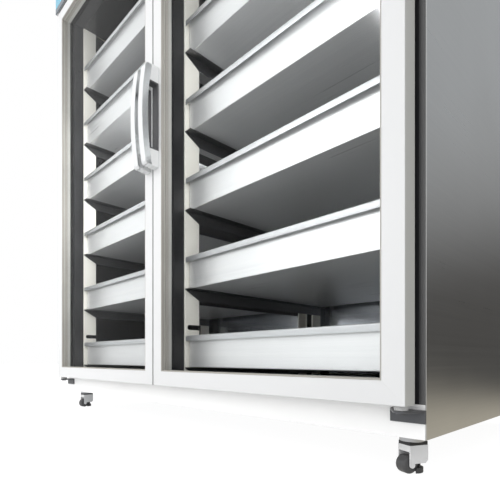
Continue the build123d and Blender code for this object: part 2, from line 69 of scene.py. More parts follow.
def addBlock(bm, low, high):  # a box between two corners, its faces returned
    low, high = Vector(low), Vector(high)
    size = high - low
    place = Matrix.Translation((low + high) / 2) @ Matrix.Diagonal((*size, 1))
    made = bmesh.ops.create_cube(bm, size=1, matrix=place)
    return list({face for vert in made["verts"] for face in vert.link_faces})


def edgesOf(faces):
    return list({edge for face in faces for edge in face.edges})


def wholeOf(bm):
    return bm.verts[:] + bm.edges[:] + bm.faces[:]


def roundEdges(bm, edges, width, segments=3):
    return bmesh.ops.bevel(bm, geom=list(edges), offset=width, offset_type="OFFSET", segments=segments,
                           profile=0.5, affect="EDGES", clamp_overlap=True, material=-1)


def roundBlock(bm, low, high, width, segments=3):  # a box with all its edges rounded
    faces = addBlock(bm, low, high)
    return roundEdges(bm, edgesOf(faces), width, segments)


def alongAxis(edge, axis):  # whether an edge runs along X, Y or Z
    line = (edge.verts[1].co - edge.verts[0].co).normalized()
    return abs(line[axis]) > 0.999


def middle(item):  # the middle of an edge
    return (item.verts[0].co + item.verts[1].co) / 2


def finishPiece(name, bm, body, nodes, materials, smoothAngle=35, flatten=True):
    bmesh.ops.remove_doubles(bm, verts=bm.verts, dist=1e-6)
    bmesh.ops.recalc_face_normals(bm, faces=bm.faces)
    mesh = bpy.data.meshes.new(name)
    bm.to_mesh(mesh)
    bm.free()
    mesh.shade_smooth()
    mesh.set_sharp_from_angle(angle=math.radians(smoothAngle))
    piece = bpy.data.objects.new(name, mesh)
    bpy.context.scene.collection.objects.link(piece)
    for material in materials if isinstance(materials, list) else [materials]:
        mesh.materials.append(material)
    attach(piece, body)
    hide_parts(*nodes)
    if flatten:
        weighNormals(piece)
    return piece


def weighNormals(piece):  # flat faces stay flat beside their rounded edges
    weighted = piece.modifiers.new("WeightedNormal", "WEIGHTED_NORMAL")
    weighted.keep_sharp, weighted.weight = True, 50


def softEdges(piece, width, segments=2, angle=35):  # live bevel and tidy shading for flat folded sheets
    bevel = piece.modifiers.new("Bevel", "BEVEL")
    bevel.width, bevel.segments = width, segments
    bevel.limit_method, bevel.angle_limit = "ANGLE", math.radians(angle)
    bevel.harden_normals = False
    weighNormals(piece)
    return piece


def mergedNode(node):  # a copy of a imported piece, its flat faces made whole
    bm = bmesh.new()
    bm.from_mesh(frame["nodes"][node].data)
    bmesh.ops.remove_doubles(bm, verts=bm.verts, dist=1e-6)
    bmesh.ops.dissolve_limit(bm, angle_limit=math.radians(1), verts=bm.verts, edges=bm.edges,
                             use_dissolve_boundaries=False, delimit=set())
    return bm


def splitAt(bm, axis, places):  # cuts every face at given heights along one axis
    for place in places:
        point, normal = Vector(), Vector()
        point[axis], normal[axis] = place, 1
        bmesh.ops.bisect_plane(bm, geom=wholeOf(bm), plane_co=point, plane_no=normal)


def paintFaces(bm, index, rule):  # gives the faces that pass the rule another material
    bm.normal_update()
    for face in bm.faces:
        if rule(face.calc_center_median(), face.normal):
            face.material_index = index


def fromNode(node, name, material, width=0.4 * mm, angle=35, prepare=None):  # with broken edges
    bm = mergedNode(node)
    if prepare:
        prepare(bm)
    body = frame["nodes"][node]["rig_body"]
    piece = finishPiece(name, bm, body, [node], material, flatten=not width)
    return softEdges(piece, width, 2, angle) if width else piece


# Shared shading groups

def newGroup(name, inputs, outputs):
    group = bpy.data.node_groups.new(name, "ShaderNodeTree")
    for label, kind, value in inputs:
        socket = group.interface.new_socket(label, in_out="INPUT", socket_type=kind)
        if value is not None:
            socket.default_value = value
    for label, kind in outputs:
        group.interface.new_socket(label, in_out="OUTPUT", socket_type=kind)
    start, end = group.nodes.new("NodeGroupInput"), group.nodes.new("NodeGroupOutput")
    return group, start, end


def addNode(tree, kind, **values):
    node = tree.nodes.new(kind)
    for key, value in values.items():
        setattr(node, key, value)
    return node


def addMath(tree, operation, first, second=None, clamp=False):
    node = addNode(tree, "ShaderNodeMath", operation=operation, use_clamp=clamp)
    for socket, value in zip(node.inputs, (first, second)):
        if isinstance(value, bpy.types.NodeSocket):
            tree.links.new(value, socket)
        elif value is not None:
            socket.default_value = value
    return node.outputs[0]


def addRange(tree, value, low, high, toLow, toHigh):
    node = addNode(tree, "ShaderNodeMapRange", clamp=True)
    tree.links.new(value, node.inputs["Value"])
    for label, number in (("From Min", low), ("From Max", high), ("To Min", toLow), ("To Max", toHigh)):
        if isinstance(number, bpy.types.NodeSocket):
            tree.links.new(number, node.inputs[label])
        else:
            node.inputs[label].default_value = number
    return node.outputs["Result"]


def addNoise(tree, vector, scale, detail=3.0, rough=0.55):
    noise = addNode(tree, "ShaderNodeTexNoise")
    tree.links.new(vector, noise.inputs["Vector"])
    if isinstance(scale, bpy.types.NodeSocket):
        tree.links.new(scale, noise.inputs["Scale"])
    else:
        noise.inputs["Scale"].default_value = scale
    noise.inputs["Detail"].default_value = detail
    noise.inputs["Roughness"].default_value = rough
    return noise.outputs["Fac"]


def brushGroup():  # long fine scratches: coordinates are scaled so that they run along one axis
    group, start, end = newGroup("brushedGrain", [
        ("Vector", "NodeSocketVector", None), ("Stretch", "NodeSocketVector", (2, 400, 400)),
        ("Contrast", "NodeSocketFloat", 1.0)],
        [("Streaks", "NodeSocketFloat"), ("Cloud", "NodeSocketFloat")])
    scaled = addNode(group, "ShaderNodeVectorMath", operation="MULTIPLY")
    group.links.new(start.outputs["Vector"], scaled.inputs[0])
    group.links.new(start.outputs["Stretch"], scaled.inputs[1])
    fine = addNoise(group, scaled.outputs[0], 1.0, 4.0, 0.7)
    broad = addNoise(group, scaled.outputs[0], 0.23, 2.0, 0.5)
    mixed = addMath(group, "ADD", addMath(group, "MULTIPLY", fine, 0.6),
                    addMath(group, "MULTIPLY", broad, 0.4))
    centred = addMath(group, "SUBTRACT", mixed, 0.5)
    strong = addMath(group, "MULTIPLY", centred, start.outputs["Contrast"])
    group.links.new(addMath(group, "ADD", strong, 0.5, True), end.inputs["Streaks"])
    group.links.new(addNoise(group, start.outputs["Vector"], 3.0, 3.0), end.inputs["Cloud"])
    return group


def wearGroup():  # a mask along convex edges, broken up by noise
    group, start, end = newGroup("edgeWear", [
        ("Vector", "NodeSocketVector", None), ("Radius", "NodeSocketFloat", 0.001),
        ("Breakup", "NodeSocketFloat", 180.0)], [("Mask", "NodeSocketFloat")])
    bevel = addNode(group, "ShaderNodeBevel", samples=4)
    group.links.new(start.outputs["Radius"], bevel.inputs["Radius"])
    geometry = addNode(group, "ShaderNodeNewGeometry")
    dot = addNode(group, "ShaderNodeVectorMath", operation="DOT_PRODUCT")
    group.links.new(bevel.outputs["Normal"], dot.inputs[0])
    group.links.new(geometry.outputs["Normal"], dot.inputs[1])
    edge = addRange(group, dot.outputs["Value"], 0.98, 0.8, 0.0, 1.0)
    rough = addNoise(group, start.outputs["Vector"], start.outputs["Breakup"], 4.0, 0.7)
    broken = addRange(group, rough, 0.4, 0.62, 0.0, 1.0)
    group.links.new(addMath(group, "MULTIPLY", edge, broken), end.inputs["Mask"])
    return group


def dustGroup():  # soft handling marks, and dust that gathers on faces that look up
    group, start, end = newGroup("marksAndDust", [
        ("Vector", "NodeSocketVector", None), ("Scale", "NodeSocketFloat", 6.0)],
        [("Marks", "NodeSocketFloat"), ("Dust", "NodeSocketFloat")])
    cloud = addNoise(group, start.outputs["Vector"], start.outputs["Scale"], 5.0, 0.6)
    group.links.new(addRange(group, cloud, 0.35, 0.75, 0.0, 1.0), end.inputs["Marks"])
    geometry = addNode(group, "ShaderNodeNewGeometry")
    parts = addNode(group, "ShaderNodeSeparateXYZ")
    group.links.new(geometry.outputs["Normal"], parts.inputs[0])
    upward = addRange(group, parts.outputs["Z"], 0.5, 1.0, 0.0, 1.0)
    speck = addRange(group, addNoise(group, start.outputs["Vector"], 60.0, 4.0, 0.8), 0.4, 0.8, 0.2, 1.0)
    group.links.new(addMath(group, "MULTIPLY", upward, speck), end.inputs["Dust"])
    return group


def grainGroup():  # moulded or sprayed surface: fine pebble and slow drift
    group, start, end = newGroup("surfaceGrain", [
        ("Vector", "NodeSocketVector", None), ("Scale", "NodeSocketFloat", 900.0)],
        [("Pebble", "NodeSocketFloat"), ("Drift", "NodeSocketFloat")])
    pebble = addNoise(group, start.outputs["Vector"], start.outputs["Scale"], 2.0, 0.5)
    group.links.new(pebble, end.inputs["Pebble"])
    group.links.new(addNoise(group, start.outputs["Vector"], 5.0, 3.0, 0.5), end.inputs["Drift"])
    return group


brushedGrain, edgeWear, marksAndDust, surfaceGrain = brushGroup(), wearGroup(), dustGroup(), grainGroup()
print("shading groups made")


# Materials

def useGroup(tree, group, vector, **values):
    node = addNode(tree, "ShaderNodeGroup", node_tree=group)
    tree.links.new(vector, node.inputs["Vector"])
    for label, value in values.items():
        node.inputs[label].default_value = value
    return node


def newMaterial(name, **sockets):
    material = bpy.data.materials.new(name)
    material.use_nodes = True
    tree = material.node_tree
    shader = tree.nodes["Principled BSDF"]
    for label, value in sockets.items():
        shader.inputs[label.replace("_", " ")].default_value = value
    place = addNode(tree, "ShaderNodeTexCoord").outputs["Object"]
    return material, tree, shader, place


def mixColour(tree, factor, first, second):
    mix = addNode(tree, "ShaderNodeMix", data_type="RGBA")
    tree.links.new(factor, mix.inputs["Factor"])
    for socket, value in ((mix.inputs[6], first), (mix.inputs[7], second)):
        if isinstance(value, bpy.types.NodeSocket):
            tree.links.new(value, socket)
        else:
            socket.default_value = (*value, 1)
    return mix.outputs[2]


def addBump(tree, height, shader, strength, distance):
    bump = addNode(tree, "ShaderNodeBump")
    bump.inputs["Strength"].default_value = strength
    bump.inputs["Distance"].default_value = distance
    tree.links.new(height, bump.inputs["Height"])
    tree.links.new(bump.outputs["Normal"], shader.inputs["Normal"])


def brushedSteel(name, dark, light, stretch, rough, metallic=1.0, contrast=1.0, bump=0.15):
    material, tree, shader, place = newMaterial(name, Metallic=metallic)
    brush = useGroup(tree, brushedGrain, place, Stretch=stretch, Contrast=contrast)
    marks = useGroup(tree, marksAndDust, place, Scale=4.0)
    base = mixColour(tree, brush.outputs["Streaks"], dark, light)
    dust = addMath(tree, "MULTIPLY", marks.outputs["Dust"], 0.12)
    dulled = mixColour(tree, dust, base, (0.55, 0.53, 0.5))
    tree.links.new(dulled, shader.inputs["Base Color"])
    spread = addMath(tree, "ADD", addRange(tree, brush.outputs["Streaks"], 0.2, 0.8, rough[0], rough[1]),
                     addMath(tree, "MULTIPLY", marks.outputs["Marks"], 0.05))
    tree.links.new(spread, shader.inputs["Roughness"])
    addBump(tree, brush.outputs["Streaks"], shader, bump, 0.0003)
    return material


def coated(name, colour, worn, rough, grain=900.0, bump=0.12, wear=0.6, metallic=0.0, coat=0.0, drift=0.04):
    material, tree, shader, place = newMaterial(name, Metallic=metallic, Coat_Weight=coat,
                                                Coat_Roughness=0.15)
    surface = useGroup(tree, surfaceGrain, place, Scale=grain)
    edges = useGroup(tree, edgeWear, place, Radius=0.9 * mm)
    marks = useGroup(tree, marksAndDust, place, Scale=9.0)
    darker = tuple(channel * (1 - drift) for channel in colour)
    base = mixColour(tree, surface.outputs["Drift"], colour, darker)
    rubbed = mixColour(tree, addMath(tree, "MULTIPLY", edges.outputs["Mask"], wear), base, worn)
    dust = addMath(tree, "MULTIPLY", marks.outputs["Dust"], 0.1)
    dusty = mixColour(tree, dust, rubbed, (0.6, 0.58, 0.54))
    tree.links.new(dusty, shader.inputs["Base Color"])
    spread = addRange(tree, marks.outputs["Marks"], 0.0, 1.0, rough[0], rough[1])
    tree.links.new(addMath(tree, "ADD", spread, addMath(tree, "MULTIPLY", surface.outputs["Pebble"], 0.04)),
                   shader.inputs["Roughness"])
    addBump(tree, surface.outputs["Pebble"], shader, bump, 0.0002)
    return material


def clearGlass(name):
    material, tree, shader, place = newMaterial(
        name, Base_Color=(0.985, 0.992, 0.992, 1), Transmission_Weight=1.0, IOR=1.04, Metallic=0.0,
        Specular_IOR_Level=0.15)
    marks = useGroup(tree, marksAndDust, place, Scale=3.0)
    tree.links.new(addRange(tree, marks.outputs["Marks"], 0.0, 1.0, 0.0, 0.02), shader.inputs["Roughness"])
    clear = addNode(tree, "ShaderNodeBsdfTransparent")
    mix = addNode(tree, "ShaderNodeMixShader")
    path = addNode(tree, "ShaderNodeLightPath")
    direct = addMath(tree, "MAXIMUM", path.outputs["Is Shadow Ray"], path.outputs["Is Diffuse Ray"])
    tree.links.new(direct, mix.inputs[0])
    tree.links.new(shader.outputs[0], mix.inputs[1])
    tree.links.new(clear.outputs[0], mix.inputs[2])
    tree.links.new(mix.outputs[0], tree.nodes["Material Output"].inputs["Surface"])
    return material


alongX, alongY, alongZ = (1.5, 420, 420), (420, 1.5, 420), (420, 420, 1.5)
sideSteel = brushedSteel("sideSteel", (0.50, 0.51, 0.51), (0.66, 0.66, 0.65), alongY, (0.24, 0.34),
                         bump=0.1)
backSteel = brushedSteel("backSteel", (0.48, 0.49, 0.50), (0.62, 0.62, 0.62), alongX, (0.28, 0.4),
                         bump=0.1)
drawerSteel = brushedSteel("drawerSteel", (0.58, 0.59, 0.60), (0.78, 0.78, 0.78), alongX, (0.24,
                           0.34), metallic=0.55, bump=0.16)
# painted shade: a darker copy of the drawer steel, given to the drawer lip for the shade band under it
lipShadeSteel = brushedSteel("lipShadeSteel", (0.44, 0.45, 0.46), (0.56, 0.57, 0.58), alongX, (0.24, 0.34),
                        metallic=0.6, bump=0.12)
# painted shade: a near-black copy of the liner steel for the side, top and bottom sheets; the back sheets
# keep a lighter copy
linerShadeSteel = brushedSteel("linerShadeSteel", (0.045, 0.045, 0.048), (0.10, 0.10, 0.105), alongZ, (0.14,
                          0.24), bump=0.1)
linerBackSteel = brushedSteel("linerBackSteel", (0.44, 0.46, 0.50), (0.66, 0.68, 0.72), alongX,
                              (0.14, 0.24), bump=0.1)
# painted shade: a dark copy of the casing steel for the front flanges, which are folds of the brighter side
# panels
faceShadeSteel = brushedSteel("faceShadeSteel", (0.16, 0.16, 0.165), (0.26, 0.26, 0.265), alongZ, (0.28,
                         0.4), bump=0.1)
# painted shade: the centre posts get a near-black copy of the steel
postShadeSteel = brushedSteel("postShadeSteel", (0.05, 0.052, 0.056), (0.1, 0.1, 0.105), alongZ, (0.3, 0.42),
                         bump=0.1)
# painted shade: a dark copy of the steel for the drawer runners
runnerShadeSteel = brushedSteel("runnerShadeSteel", (0.12, 0.12, 0.125), (0.26, 0.26, 0.265), alongY, (0.28, 0.4))
plateSteel = brushedSteel("plateSteel", (0.42, 0.43, 0.45), (0.6, 0.6, 0.61), alongX, (0.3, 0.45),
                          bump=0.1)
panSteel = coated("galvanisedSteel", (0.5, 0.52, 0.54), (0.7, 0.7, 0.7), (0.35, 0.55), 300.0,
                  metallic=0.9, drift=0.25)
doorWhite = coated("doorWhite", (0.675, 0.68, 0.685), (0.7, 0.7, 0.7), (0.3, 0.42), 1400.0, 0.06,
                   wear=0.15, coat=0.2)
# painted shade: a darker beige copy of the door white, for the bars' side faces
doorSideShade = coated("doorSideShade", (0.48, 0.48, 0.455), (0.6, 0.6, 0.58), (0.34, 0.46), 1400.0, 0.06, wear=0.15)
frontWhite = coated("frontWhite", (0.93, 0.93, 0.93), (0.7, 0.7, 0.7), (0.34, 0.46), 1400.0, 0.06,
                    wear=0.15)
beadGrey = coated("beadGrey", (0.36, 0.345, 0.315), (0.3, 0.3, 0.3), (0.45, 0.6), 900.0, 0.15, wear=0.1)
rackBeige = coated("rackBeige", (0.90, 0.88, 0.81), (0.6, 0.6, 0.6), (0.35, 0.5), 900.0, 0.1, wear=0.3)
gripSilver = coated("gripSilver", (0.90, 0.91, 0.92), (0.7, 0.7, 0.7), (0.14, 0.24), 1800.0, 0.04,
                    wear=0.1, metallic=1.0)
blockGrey = coated("blockGrey", (0.68, 0.69, 0.69), (0.5, 0.5, 0.5), (0.4, 0.55), 1500.0, 0.15, wear=0.15)
stripDark = coated("stripDark", (0.075, 0.075, 0.08), (0.2, 0.2, 0.2), (0.4, 0.55), 1500.0, 0.15, wear=0.2)
blackPlastic = coated("blackPlastic", (0.012, 0.012, 0.014), (0.06, 0.06, 0.06), (0.32, 0.48),
                      1500.0, 0.15, wear=0.2)
sealRubber = coated("sealRubber", (0.015, 0.015, 0.016), (0.05, 0.05, 0.05), (0.5, 0.65), 700.0,
                    0.3, wear=0.2)
hingeDark = coated("hingeDark", (0.085, 0.088, 0.095), (0.3, 0.3, 0.3), (0.35, 0.5), 900.0, 0.12,
                   wear=0.5, metallic=0.3)
bushGrey = coated("bushGrey", (0.42, 0.42, 0.42), (0.5, 0.5, 0.5), (0.4, 0.5), 1500.0, 0.1, wear=0.2)
casterZinc = coated("casterZinc", (0.76, 0.76, 0.765), (0.75, 0.75, 0.75), (0.38, 0.52), 700.0,
                    0.2, wear=0.4)
wheelDark = coated("wheelDark", (0.075, 0.075, 0.078), (0.16, 0.16, 0.16), (0.4, 0.6), 500.0, 0.3,
                   wear=0.5, drift=0.2)
footRubber = coated("footRubber", (0.05, 0.05, 0.052), (0.12, 0.12, 0.12), (0.5, 0.7), 500.0, 0.3,
                    wear=0.4)
headerBlue = coated("headerBlue", (0.02, 0.34, 0.52), (0.2, 0.5, 0.6), (0.2, 0.32), 1800.0, 0.04,
                    wear=0.1, coat=0.5)
headerNavy = coated("headerNavy", (0.004, 0.028, 0.055), (0.1, 0.12, 0.15), (0.22, 0.34), 1800.0,
                    0.04, wear=0.1, coat=0.5)
foamBoard = coated("foamBoard", (0.72, 0.66, 0.46), (0.7, 0.66, 0.5), (0.8, 0.95), 250.0, 0.5, drift=0.15)
motorGrey = coated("motorGrey", (0.12, 0.14, 0.17), (0.4, 0.4, 0.4), (0.35, 0.5), 400.0, 0.4, wear=0.5)
screenBlack = coated("screenBlack", (0.008, 0.008, 0.01), (0.02, 0.02, 0.02), (0.08, 0.16), 1800.0,
                     0.02, wear=0.0, coat=1.0)
glass = clearGlass("clearGlass")
print("materials made")


# Casing

casing = {"fold": 0.63 * mm, "sheetEdge": 0.6 * mm, "flange": 701.2 * mm}


def sidePanels():
    for side in sides:
        low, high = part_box(side + "_side_panel")
        bm = bmesh.new()
        roundBlock(bm, low, high, casing["fold"])
        finishPiece(side + "SidePanel", bm, "cabinet", [side + "_side_panel"], sideSteel)


def faceSheets():
    bm = bmesh.new()
    kickLow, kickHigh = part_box("kick_plate")
    roundBlock(bm, kickLow, kickHigh, casing["sheetEdge"])
    finishPiece("kickPlate", bm, "cabinet", ["kick_plate"], frontWhite)
    flange = casing["flange"]

    def blackInside(bm):  # black thermal frame, with the side panels' folded flanges outside it
        splitAt(bm, 0, (-flange, flange))
        paintFaces(bm, 1, lambda centre, normal: abs(centre.x) < flange)
    # painted shade: the front flanges outside the black frame take the dark face steel
    fromNode("front_frame", "faceFrame", [faceShadeSteel, blackPlastic], prepare=blackInside)


def backSheet():
    low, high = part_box("back_panel")
    bm = bmesh.new()
    roundBlock(bm, low, high, casing["sheetEdge"])
    finishPiece("backSheet", bm, "cabinet", ["back_panel"], backSteel)


sidePanels()
faceSheets()
backSheet()
print("casing made")


# Drawers

tray = {"sheet": 1.4 * mm, "lipReach": 11.5 * mm, "lipHeight": 14 * mm, "bend": 2.0 * mm,
        "corner": 3.0 * mm}


def makeDrawer(node, name):
    low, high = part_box(node)
    high = high - Vector((0, 0, tray["sheet"]))  # the lip's thickness grows up and forward
    face = low.y + tray["lipReach"]
    bm = bmesh.new()
    faces = addBlock(bm, (low.x, face, low.z), high)
    top = max(faces, key=lambda item: item.calc_center_median().z)
    bmesh.ops.delete(bm, geom=[top], context="FACES_ONLY")
    frontTop = [e for e in bm.edges if middle(e).z > high.z - mm and middle(e).y < face + mm]
    moves = ((0, tray["sheet"] - tray["lipReach"], 0), (0, 0, -tray["lipHeight"]))
    for move in moves:
        made = bmesh.ops.extrude_edge_only(bm, edges=frontTop)["geom"]
        verts = [item for item in made if isinstance(item, bmesh.types.BMVert)]
        bmesh.ops.translate(bm, verts=verts, vec=move)
        edges = [item for item in made if isinstance(item, bmesh.types.BMEdge)]
        frontTop = [e for e in edges if all(v in verts for v in e.verts)]
    bends = [e for e in bm.edges if len(e.link_faces) == 2 and (alongAxis(e, 0) or alongAxis(e, 1))]
    roundEdges(bm, bends, tray["bend"], 4)
    uprights = [e for e in bm.edges if len(e.link_faces) == 2 and alongAxis(e, 2)]
    roundEdges(bm, uprights, tray["corner"], 4)
    edge = high.z - tray["lipHeight"] - tray["bend"]
    # painted shade: the lip faces, in front of the face plate, take the darker lip steel
    paintFaces(bm, 1, lambda place, normal: place.y < face - tray["bend"] and place.z > edge)
    piece = finishPiece(name, bm, node, [node], [drawerSteel, lipShadeSteel], flatten=False)
    solidify = piece.modifiers.new("Solidify", "SOLIDIFY")
    solidify.thickness, solidify.offset = tray["sheet"], -1
    weighNormals(piece)


for side in sides:
    for row in range(1, 7):
        makeDrawer(f"{side}_drawer_{row}", f"{side}Drawer{row}")
print("drawers made")


# Rack and inner casing

liner = {"seamX": -136 * mm, "seamZ": 398 * mm, "seamGap": 1.2 * mm, "sheet": 1.5 * mm, "edge": 0.3 * mm}


def makeLiner():
    low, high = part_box("liner")
    sheet, gap = liner["sheet"], liner["seamGap"]
    bm = bmesh.new()
    for x in (low.x, high.x - sheet):
        roundBlock(bm, (x, low.y, low.z + 2 * sheet), (x + sheet, high.y - sheet, high.z - 2 * sheet),
                   liner["edge"], 2)
    for z in (low.z, high.z - sheet):
        faces = addBlock(bm, (low.x + sheet, low.y, z), (high.x - sheet, high.y - sheet, z + sheet))
        roundEdges(bm, edgesOf(faces), liner["edge"], 2)
    # painted shade: the sides, top and bottom take the near-black liner steel
    finishPiece("innerLiner", bm, "cabinet", ["liner"], linerShadeSteel)
    bm = bmesh.new()
    for x0, x1 in ((low.x + sheet, liner["seamX"] - gap), (liner["seamX"], high.x - sheet)):
        for z0, z1 in ((low.z + 2 * sheet, liner["seamZ"] - gap), (liner["seamZ"], high.z - 2 * sheet)):
            roundBlock(bm, (x0, high.y - sheet, z0), (x1, high.y, z1), 0.5 * mm, 2)
    finishPiece("linerBack", bm, "cabinet", ["liner"], linerBackSteel)


fromNode("rack_posts", "rackPosts", rackBeige)
# painted shade: dark steel on the runners
fromNode("runners", "drawerRunners", runnerShadeSteel)
makeLiner()
# painted shade: near-black steel on the centre posts
fromNode("centre_posts", "centrePosts", postShadeSteel, 1.2 * mm)
fromNode("breaker_strips", "breakerStrips", blackPlastic, 0.5 * mm)
fromNode("base_pan", "basePan", panSteel)
print("rack and liner made")


# Doors

door = {"bar": 38 * mm, "outerRound": 1.4 * mm, "innerRound": 1.2 * mm, "bead": 2.6 * mm,
        "glassBack": 9 * mm, "unit": 18 * mm, "pane": 4 * mm, "paneGap": 0.4 * mm,
        "spacerInset": 5 * mm, "spacer": 8 * mm,
        "gasket": 20 * mm, "gasketGap": 0.4 * mm, "webInset": 3 * mm, "webHalf": 1.5 * mm, "web": 14 * mm,
        "mitreGap": 0.05 * mm}


def mitredBars(bm, outerLow, outerHigh, width, rounding, innerRounding):  # four bars round an upright frame
    spans = [((outerLow.x, outerLow.z), (outerHigh.x, outerLow.z + width)),
             ((outerLow.x, outerHigh.z - width), (outerHigh.x, outerHigh.z)),
             ((outerLow.x, outerLow.z), (outerLow.x + width, outerHigh.z)),
             ((outerHigh.x - width, outerLow.z), (outerHigh.x, outerHigh.z))]
    for index, ((x0, z0), (x1, z1)) in enumerate(spans):
        part = bmesh.new()
        faces = addBlock(part, (x0, outerLow.y, z0), (x1, outerHigh.y, z1))
        axis = 0 if index < 2 else 2
        outward = -1 if index in (0, 2) else 1
        long = [e for e in edgesOf(faces) if alongAxis(e, axis)]
        cross = 2 - axis
        centre = (z0 + z1 if cross == 2 else x0 + x1) / 2
        outer = [e for e in long if (middle(e)[cross] - centre) * outward > 0]
        inner = [e for e in long if e not in outer]
        roundEdges(part, outer, rounding, 4)
        roundEdges(part, [e for e in inner if e.is_valid], innerRounding, 2)
        for end in (-1, 1):
            right, up = (end, outward) if axis == 0 else (outward, end)
            corner = Vector((outerHigh.x if right > 0 else outerLow.x, 0,
                             outerHigh.z if up > 0 else outerLow.z))
            along = Vector((end, 0, 0)) if axis == 0 else Vector((0, 0, end))
            away = Vector((0, 0, outward)) if axis == 0 else Vector((outward, 0, 0))
            place = corner - along * door["mitreGap"]
            cut = bmesh.ops.bisect_plane(part, geom=wholeOf(part), plane_co=place,
                                         plane_no=(along - away).normalized(), clear_outer=True)
            rim = [item for item in cut["geom_cut"] if isinstance(item, bmesh.types.BMEdge)]
            bmesh.ops.holes_fill(part, edges=rim, sides=0)
        mesh = bpy.data.meshes.new("bar")
        part.to_mesh(mesh)
        part.free()
        bm.from_mesh(mesh)
        bpy.data.meshes.remove(mesh)


def grown(low, high, amount):
    shift = Vector((amount, 0, amount))
    return low - shift, high + shift


def makeDoor(side):
    body = side + "_door"
    low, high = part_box(side + "_door_frame")
    bm = bmesh.new()
    mitredBars(bm, low, high, door["bar"], door["outerRound"], door["innerRound"])
    # painted shade: the side faces of the bars take the darker copy of the door white
    paintFaces(bm, 1, lambda centre, normal: abs(normal.y) < 0.4)
    meeting = low.x if side == "right" else high.x
    paintFaces(bm, 2, lambda centre, normal: abs(centre.x - meeting) < 2 * mm and abs(normal.x) > 0.9)
    finishPiece(side + "DoorFrame", bm, body, [side + "_door_frame"],
                [doorWhite, doorSideShade, sealRubber])

    sealLow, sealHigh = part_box(side + "_glazing_seal")
    openLow, openHigh = grown(low, high, -door["bar"])
    openLow.y, openHigh.y = sealLow.y, low.y + door["glassBack"]
    bm = bmesh.new()
    mitredBars(bm, openLow, openHigh, door["bead"], 0.3 * mm, 1.2 * mm)
    spacerLow, spacerHigh = grown(openLow, openHigh, door["spacerInset"])
    spacerLow.y = low.y + door["glassBack"] + door["pane"]
    spacerHigh.y = low.y + door["glassBack"] + door["unit"] - door["pane"]
    mitredBars(bm, spacerLow, spacerHigh, door["spacer"], 0.3 * mm, 0.5 * mm)
    finishPiece(side + "GlazingSeal", bm, body, [side + "_glazing_seal"], beadGrey)

    paneLow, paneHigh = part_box(side + "_door_glass")
    thick = door["pane"] - door["paneGap"]
    bm = bmesh.new()
    roundBlock(bm, paneLow, (paneHigh.x, paneLow.y + thick, paneHigh.z), 0.5 * mm, 2)
    roundBlock(bm, (paneLow.x, paneHigh.y - thick, paneLow.z), paneHigh, 0.5 * mm, 2)
    finishPiece(side + "DoorGlass", bm, body, [side + "_door_glass"], glass)

    gasketLow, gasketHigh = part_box(side + "_door_gasket")
    bm = bmesh.new()
    middleY = (gasketLow.y + gasketHigh.y) / 2
    back = gasketHigh.copy()
    back.y = middleY - door["gasketGap"]
    mitredBars(bm, gasketLow, back, door["gasket"], 2 * mm, 2 * mm)
    front = gasketLow.copy()
    front.y = middleY + door["gasketGap"]
    mitredBars(bm, front, gasketHigh, door["gasket"], 2.5 * mm, 2.5 * mm)
    webLow, webHigh = grown(gasketLow, gasketHigh, -door["webInset"])
    webLow.y, webHigh.y = middleY - door["webHalf"], middleY + door["webHalf"]
    mitredBars(bm, webLow, webHigh, door["web"], 0.3 * mm, 0.3 * mm)
    finishPiece(side + "DoorGasket", bm, body, [side + "_door_gasket"], sealRubber)
    fromNode(side + "_hinge_bushes", side + "HingeBushes", bushGrey, 0.4 * mm, 50)


handle = {"bow": 12 * mm, "thick": 18 * mm, "endRound": 11 * mm, "edgeRound": 3.2 * mm,
          "steps": 28, "block": 44 * mm}


def makeHandle(side):
    low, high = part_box(side + "_handle_grip")
    length, bow = high.z - low.z, handle["bow"]
    radius = (length * length / 4 + bow * bow) / (2 * bow)
    centre = Vector(((low.x + high.x) / 2, low.y + radius, (low.z + high.z) / 2))
    angle = math.asin(length / 2 / radius)
    bm = bmesh.new()
    outerY, innerY = centre.y - radius, centre.y - radius + handle["thick"]
    section = bmesh.ops.create_grid(bm, x_segments=1, y_segments=1, size=0.5, matrix=(
        Matrix.Translation((centre.x, (outerY + innerY) / 2, centre.z)) @
        Matrix.Diagonal((high.x - low.x, handle["thick"], 1, 1))))
    bmesh.ops.rotate(bm, verts=section["verts"], cent=centre, matrix=Matrix.Rotation(angle, 3, "X"))
    bmesh.ops.spin(bm, geom=wholeOf(bm), cent=centre, axis=(1, 0, 0), angle=-2 * angle,
                   steps=handle["steps"], use_merge=False, use_duplicate=False)
    bmesh.ops.recalc_face_normals(bm, faces=bm.faces)
    for sign in (-1, 1):
        reach = length / 2 - 4 * mm
        ends = [e for e in bm.edges if alongAxis(e, 0) and (middle(e).z - centre.z) * sign > reach
                and middle(e).y < low.y + bow + 2 * mm and len(e.link_faces) == 2]
        tip = max(ends, key=lambda e: sum(f.calc_area() * abs(f.normal.z) for f in e.link_faces))
        roundEdges(bm, [tip], handle["endRound"], 8)
    sharp = [e for e in bm.edges if len(e.link_faces) == 2 and e.calc_face_angle(0) > math.radians(50)]
    roundEdges(bm, sharp, handle["edgeRound"], 4)
    finishPiece(side + "HandleGrip", bm, side + "_door", [side + "_handle_grip"],
                gripSilver, 40)
    low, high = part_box(side + "_handle_base")
    ends = (low.z + handle["block"], high.z - handle["block"])

    def darkStrip(bm):
        splitAt(bm, 2, ends)
        paintFaces(bm, 1, lambda place, normal: ends[0] < place.z < ends[1])
    fromNode(side + "_handle_base", side + "HandleBase", [blockGrey, stripDark],
             1.2 * mm, 30, darkStrip)


for side in sides:
    makeDoor(side)
    makeHandle(side)
print("doors made")


# Hinges

fromNode("hinge_brackets", "hingeBrackets", hingeDark, 0.8 * mm)
fromNode("hinge_pins", "hingePins", hingeDark)


# Header

header = {"strip": 20 * mm, "gap": 0.2 * mm, "edge": 0.8 * mm}


